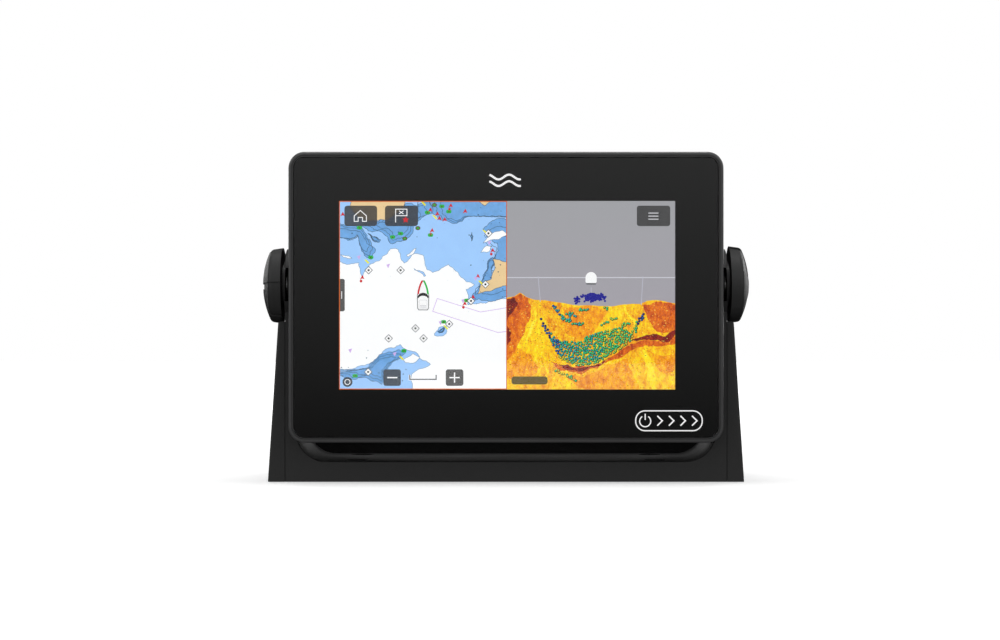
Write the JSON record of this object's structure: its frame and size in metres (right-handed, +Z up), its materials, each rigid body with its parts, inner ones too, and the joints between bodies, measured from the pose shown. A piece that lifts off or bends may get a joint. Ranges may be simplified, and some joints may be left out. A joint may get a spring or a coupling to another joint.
{
  "type": "chartplotter display",
  "caption": "Marine chartplotter display with a flat glass touch screen, hung in a tilting trunnion bracket by two side clamping knobs.",
  "frame": {"origin": "middle of the whole object's footprint, on the surface that the bracket's base stands on", "axes": "+X to the right as the screen is read, +Y away from the reader towards the connectors, +Z up"},
  "size_m": [0.2272, 0.094, 0.1522],
  "materials": {
    "bezel": "dark grey satin moulding, fine texture",
    "cover_glass": "clear glossy chemically toughened glass",
    "glass_print": "black ceramic print behind the glass",
    "rubber": "black seal rubber",
    "touch_film": "clear sensor film",
    "lcd_panel": "dark liquid crystal panel",
    "light_guide": "milky acrylic",
    "tray_metal": "zinc plated sheet",
    "frame_plastic": "black glass filled moulding",
    "chassis_metal": "bare die cast aluminium",
    "circuit_board": "green solder mask",
    "chip": "black epoxy package",
    "shield_metal": "tin plated can",
    "coil": "grey ferrite",
    "capacitor_can": "bright aluminium can",
    "ceramic": "tan antenna ceramic",
    "flex_film": "amber polyimide film",
    "screw_steel": "stainless steel",
    "case_plastic": "black moulding, fine spark texture",
    "sink_metal": "black anodised aluminium",
    "plate_film": "blank grey label film",
    "connector_metal": "satin nickel plating",
    "contact_plastic": "black contact carrier",
    "brass": "plain brass",
    "ring_plastic": "black acetal",
    "bracket_plastic": "black moulding, fine spark texture",
    "knob_plastic": "black soft touch moulding",
    "washer_plastic": "black nylon"
  },
  "bodies": {
    "base": {"bracket": "bracket_plastic"},
    "card_door": {"card_door": "case_plastic"},
    "washer_left": {"washer_left": "washer_plastic"},
    "knob_left": {"knob_left": "knob_plastic", "stud_left": "screw_steel"},
    "washer_right": {"washer_right": "washer_plastic"},
    "knob_right": {"knob_right": "knob_plastic", "stud_right": "screw_steel"},
    "display": {"backlight": "light_guide", "board_screws": "screw_steel", "border_print": "glass_print", "capacitors": "capacitor_can", "card_door_pin": "screw_steel", "card_door_seal": "rubber", "card_reader": "shield_metal", "case_screws": "screw_steel", "case_seal": "rubber", "chassis_plate": "chassis_metal", "chassis_screws": "screw_steel", "cover_glass": "cover_glass", "friction_rings": "ring_plastic", "front_bezel": "bezel", "front_frame": "frame_plastic", "glass_gasket": "rubber", "heat_sink": "sink_metal", "lcd_panel": "lcd_panel", "lcd_ribbon": "flex_film", "lcd_tray": "tray_metal", "light_bar": "chip", "main_board": "circuit_board", "memory_chips": "chip", "network_insert": "contact_plastic", "network_nut": "connector_metal", "network_seal": "rubber", "network_shell": "connector_metal", "position_antenna": "ceramic", "power_data_insert": "contact_plastic", "power_data_nut": "connector_metal", "power_data_seal": "rubber", "power_data_shell": "connector_metal", "processor": "chip", "radio_antenna": "flex_film", "rating_plate": "plate_film", "rear_case": "case_plastic", "sonar_board": "circuit_board", "sonar_coils": "coil", "sonar_screws": "screw_steel", "sonar_shield": "shield_metal", "sounder": "chip", "swipe_board": "circuit_board", "thermal_pad": "rubber", "threaded_inserts": "brass", "touch_ribbon": "flex_film", "touch_sensor": "touch_film", "transducer_insert": "contact_plastic", "transducer_nut": "connector_metal", "transducer_seal": "rubber", "transducer_shell": "connector_metal", "vent_plug": "ring_plastic"}
  },
  "joints": [
    {"name": "display_tilt", "type": "hinge", "parent": "base", "child": "display", "pos_m": [0, -0.022, 0.0915], "axis": [-1, 0, 0], "range_deg": [-4, 40]},
    {"name": "washer_left_travel", "type": "slide", "parent": "display", "child": "washer_left", "axis": [-1, 0, 0], "range_m": [0, 0.0038]},
    {"name": "knob_left_turn", "type": "hinge", "parent": "washer_left", "child": "knob_left", "pos_m": [0, -0.022, 0.0915], "axis": [-1, 0, 0], "range_deg": [0, 1080]},
    {"name": "washer_right_travel", "type": "slide", "parent": "display", "child": "washer_right", "axis": [1, 0, 0], "range_m": [0, 0.0038]},
    {"name": "knob_right_turn", "type": "hinge", "parent": "washer_right", "child": "knob_right", "pos_m": [0, -0.022, 0.0915], "axis": [1, 0, 0], "range_deg": [0, 1080]},
    {"name": "card_door_swing", "type": "hinge", "parent": "display", "child": "card_door", "pos_m": [-0.081, 0.0045, 0.1055], "axis": [0, 0, 1], "range_deg": [0, 110]}
  ],
  "couplings": [
    {"joint": "washer_left_travel", "follows": "knob_left_turn", "m_per_rad": 0.00019894},
    {"joint": "washer_right_travel", "follows": "knob_right_turn", "m_per_rad": 0.00019894}
  ]
}
